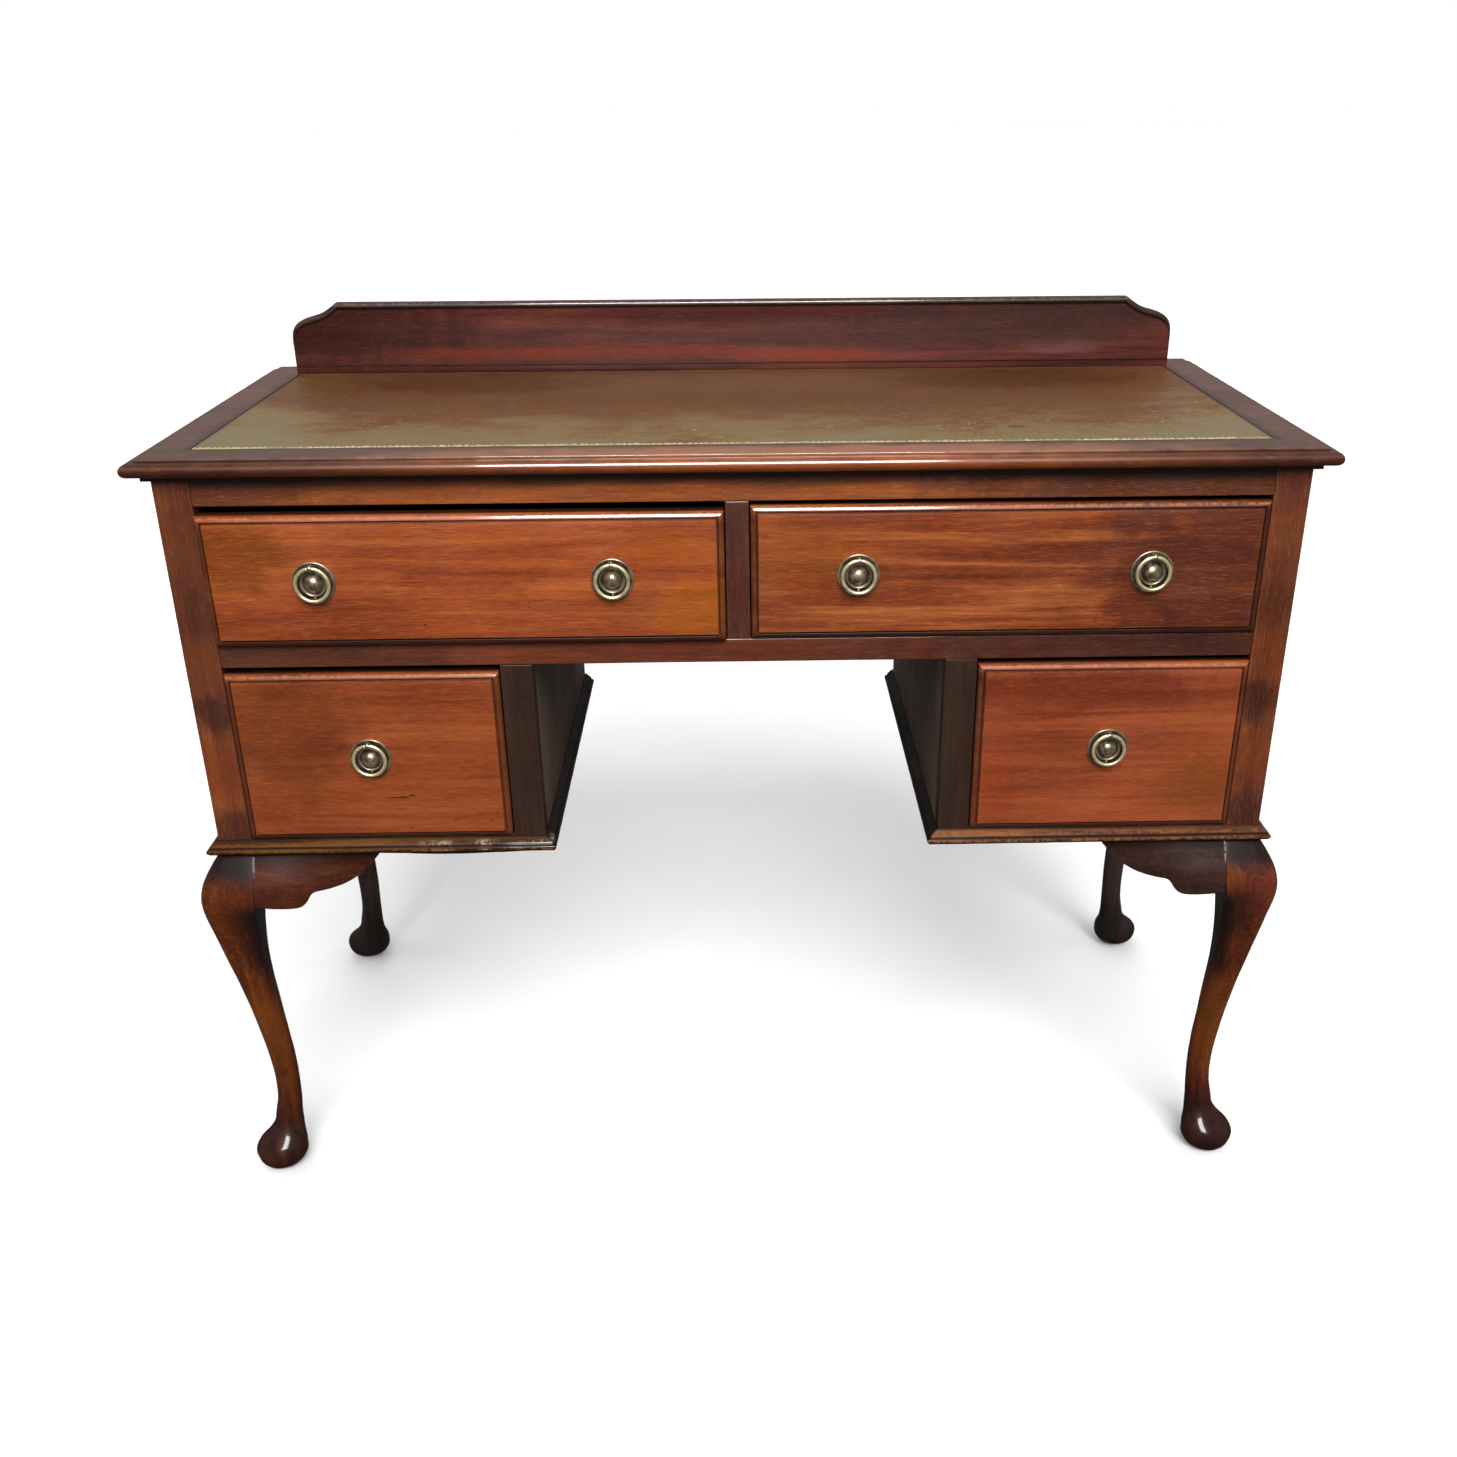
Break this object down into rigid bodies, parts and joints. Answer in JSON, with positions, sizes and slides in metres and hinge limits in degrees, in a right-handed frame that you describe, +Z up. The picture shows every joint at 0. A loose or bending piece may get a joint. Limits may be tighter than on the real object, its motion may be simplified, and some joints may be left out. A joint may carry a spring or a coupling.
{
  "type": "writing desk",
  "caption": "Writing desk with a leather-lined top, low back gallery, drawers over a kneehole, ring pulls and cabriole legs with pad feet.",
  "frame": {"origin": "on the floor, under the middle of the desk", "axes": "+X to the right as seen from the front, +Y to the back, +Z up; the drawers open towards -Y"},
  "size_m": [1.068, 0.518, 0.8285],
  "materials": {
    "frame": "dark polished mahogany, worn at the edges",
    "drawer": "red-brown polished mahogany",
    "dark": "blackened mahogany",
    "inside": "bare secondary wood",
    "leather": "worn olive leather",
    "ring": "pale worn brass",
    "rosette": "browned brass"
  },
  "bodies": {
    "carcass": {"top_board": "frame", "writing_leather": "leather", "gallery_board": "frame", "gallery_bead": "frame", "frieze_rail": "frame", "middle_rail": "frame", "drawer_muntin": "frame", "centre_partition": "inside", "dust_board": "inside", "back_panel": "dark", "front_stile_left": "frame", "front_stile_right": "frame", "outer_side_left": "frame", "outer_side_right": "frame", "kneehole_stile_left": "dark", "kneehole_stile_right": "dark", "kneehole_side_left": "dark", "kneehole_side_right": "dark", "pedestal_base_left": "inside", "pedestal_base_right": "inside", "base_moulding_front_left": "frame", "base_moulding_front_right": "frame", "base_moulding_outer_left": "frame", "base_moulding_outer_right": "frame", "base_moulding_inner_left": "dark", "base_moulding_inner_right": "dark", "leg_front_left": "frame", "leg_front_right": "frame", "leg_rear_left": "frame", "leg_rear_right": "frame", "bracket_front_left": "frame", "bracket_front_right": "frame", "bracket_side_front_left": "frame", "bracket_side_front_right": "frame", "bracket_side_rear_left": "frame", "bracket_side_rear_right": "frame"},
    "drawer_upper_left": {"drawer_front_upper_left": "drawer", "drawer_box_upper_left": "inside", "drawer_bottom_upper_left": "inside", "pull_rosette_upper_left_outer": "rosette", "pull_rosette_upper_left_inner": "rosette"},
    "drawer_upper_right": {"drawer_front_upper_right": "drawer", "drawer_box_upper_right": "inside", "drawer_bottom_upper_right": "inside", "pull_rosette_upper_right_inner": "rosette", "pull_rosette_upper_right_outer": "rosette"},
    "drawer_lower_left": {"drawer_front_lower_left": "drawer", "drawer_box_lower_left": "inside", "drawer_bottom_lower_left": "inside", "pull_rosette_lower_left_middle": "rosette"},
    "drawer_lower_right": {"drawer_front_lower_right": "drawer", "drawer_box_lower_right": "inside", "drawer_bottom_lower_right": "inside", "pull_rosette_lower_right_middle": "rosette"},
    "ring_upper_left_outer": {"pull_ring_upper_left_outer": "ring"},
    "ring_upper_left_inner": {"pull_ring_upper_left_inner": "ring"},
    "ring_upper_right_inner": {"pull_ring_upper_right_inner": "ring"},
    "ring_upper_right_outer": {"pull_ring_upper_right_outer": "ring"},
    "ring_lower_left_middle": {"pull_ring_lower_left_middle": "ring"},
    "ring_lower_right_middle": {"pull_ring_lower_right_middle": "ring"}
  },
  "joints": [
    {"name": "upper_left_slide", "type": "slide", "parent": "carcass", "child": "drawer_upper_left", "axis": [0, -1, 0], "range_m": [-0.005, 0.295]},
    {"name": "upper_right_slide", "type": "slide", "parent": "carcass", "child": "drawer_upper_right", "axis": [0, -1, 0], "range_m": [0, 0.3]},
    {"name": "lower_left_slide", "type": "slide", "parent": "carcass", "child": "drawer_lower_left", "axis": [0, -1, 0], "range_m": [0, 0.3]},
    {"name": "lower_right_slide", "type": "slide", "parent": "carcass", "child": "drawer_lower_right", "axis": [0, -1, 0], "range_m": [0, 0.3]},
    {"name": "upper_left_outer_swing", "type": "hinge", "parent": "drawer_upper_left", "child": "ring_upper_left_outer", "pos_m": [-0.378, -0.2543, 0.6613], "axis": [-1, 0, 0], "range_deg": [0, 100]},
    {"name": "upper_left_inner_swing", "type": "hinge", "parent": "drawer_upper_left", "child": "ring_upper_left_inner", "pos_m": [-0.1125, -0.2543, 0.6613], "axis": [-1, 0, 0], "range_deg": [0, 100]},
    {"name": "upper_right_inner_swing", "type": "hinge", "parent": "drawer_upper_right", "child": "ring_upper_right_inner", "pos_m": [0.1085, -0.2493, 0.6613], "axis": [-1, 0, 0], "range_deg": [0, 100]},
    {"name": "upper_right_outer_swing", "type": "hinge", "parent": "drawer_upper_right", "child": "ring_upper_right_outer", "pos_m": [0.374, -0.2493, 0.6613], "axis": [-1, 0, 0], "range_deg": [0, 100]},
    {"name": "lower_left_middle_swing", "type": "hinge", "parent": "drawer_lower_left", "child": "ring_lower_left_middle", "pos_m": [-0.3498, -0.2493, 0.4908], "axis": [-1, 0, 0], "range_deg": [0, 100]},
    {"name": "lower_right_middle_swing", "type": "hinge", "parent": "drawer_lower_right", "child": "ring_lower_right_middle", "pos_m": [0.3498, -0.2493, 0.4908], "axis": [-1, 0, 0], "range_deg": [0, 100]}
  ]
}
